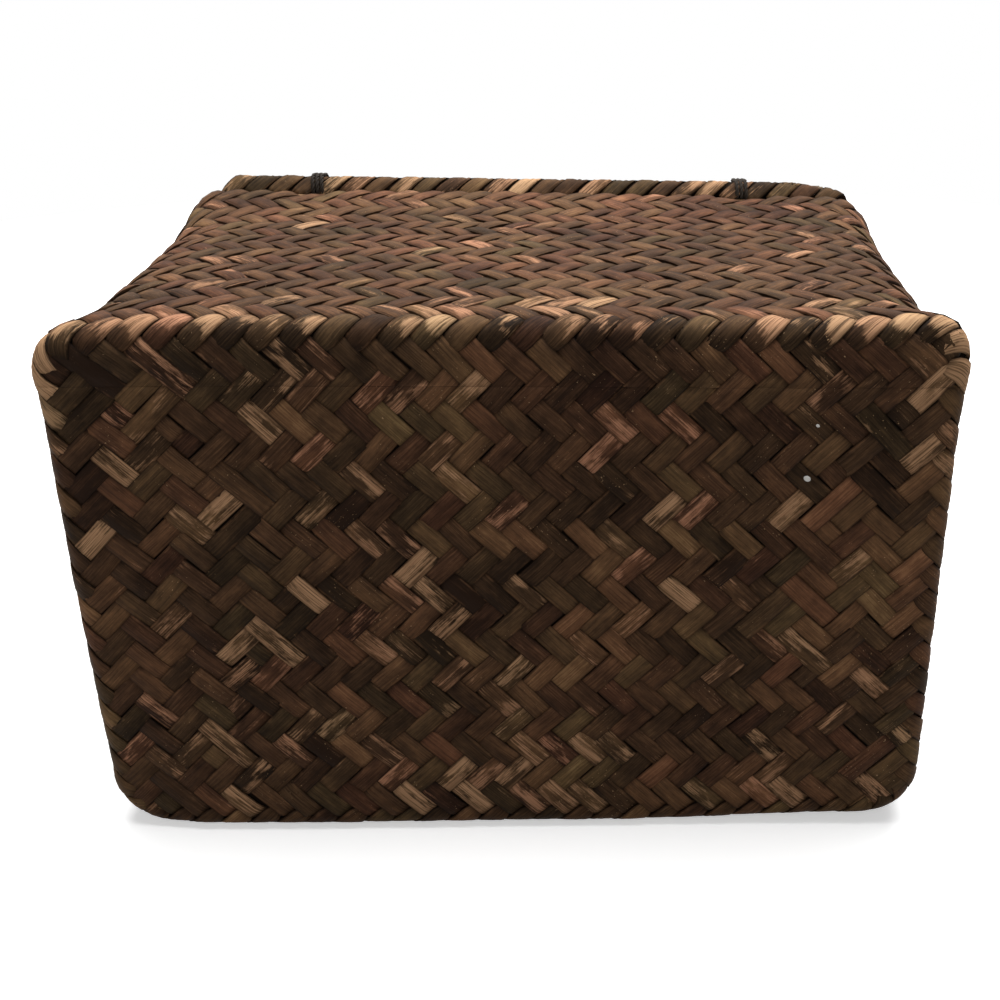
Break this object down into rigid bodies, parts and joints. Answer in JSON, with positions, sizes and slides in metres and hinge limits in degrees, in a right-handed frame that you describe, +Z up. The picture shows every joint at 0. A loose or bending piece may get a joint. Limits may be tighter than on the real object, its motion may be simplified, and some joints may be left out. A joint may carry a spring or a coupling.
{
  "type": "woven lidded box",
  "caption": "Plaited leaf box with round shoulders and a shallow cap lid that hinges on twine lashings round its rolled back rim; holds small keepsakes.",
  "frame": {"origin": "middle of the flat base, on the surface that the box stands on", "axes": "+X to the right as seen from the front, +Y to the back where the hinge is, +Z up"},
  "size_m": [0.3, 0.2057, 0.2047],
  "materials": {
    "dark_leaf": "matte dried leaf, dark brown",
    "top_leaf": "matte dried leaf, brown",
    "lining_leaf": "matte dried leaf, unworn",
    "worn_leaf": "matte dried leaf, worn pale",
    "splint": "split bamboo, satin",
    "twine": "twisted fibre twine, dark"
  },
  "bodies": {
    "body": {"outer_basket": "dark_leaf", "inner_basket": "lining_leaf", "neck_band_front": "lining_leaf", "neck_band_back": "lining_leaf", "neck_band_left": "lining_leaf", "neck_band_right": "lining_leaf", "neck_splint_front": "splint", "neck_splint_back": "splint", "neck_splint_left": "splint", "neck_splint_right": "splint", "body_rim_cane": "splint", "body_rim_wrap": "worn_leaf", "hinge_twine_left": "twine", "hinge_twine_right": "twine", "hinge_knot_left": "twine", "hinge_knot_right": "twine"},
    "lid": {"lid_outer_weave": "top_leaf", "lid_lining": "lining_leaf", "lid_splint_front": "splint", "lid_splint_left": "splint", "lid_splint_right": "splint", "lid_rim_cane": "splint", "lid_rim_wrap": "worn_leaf"}
  },
  "joints": [
    {"name": "lid_hinge", "type": "hinge", "parent": "body", "child": "lid", "pos_m": [0, 0.0899, 0.1981], "axis": [-1, 0, 0], "range_deg": [0, 120]}
  ]
}
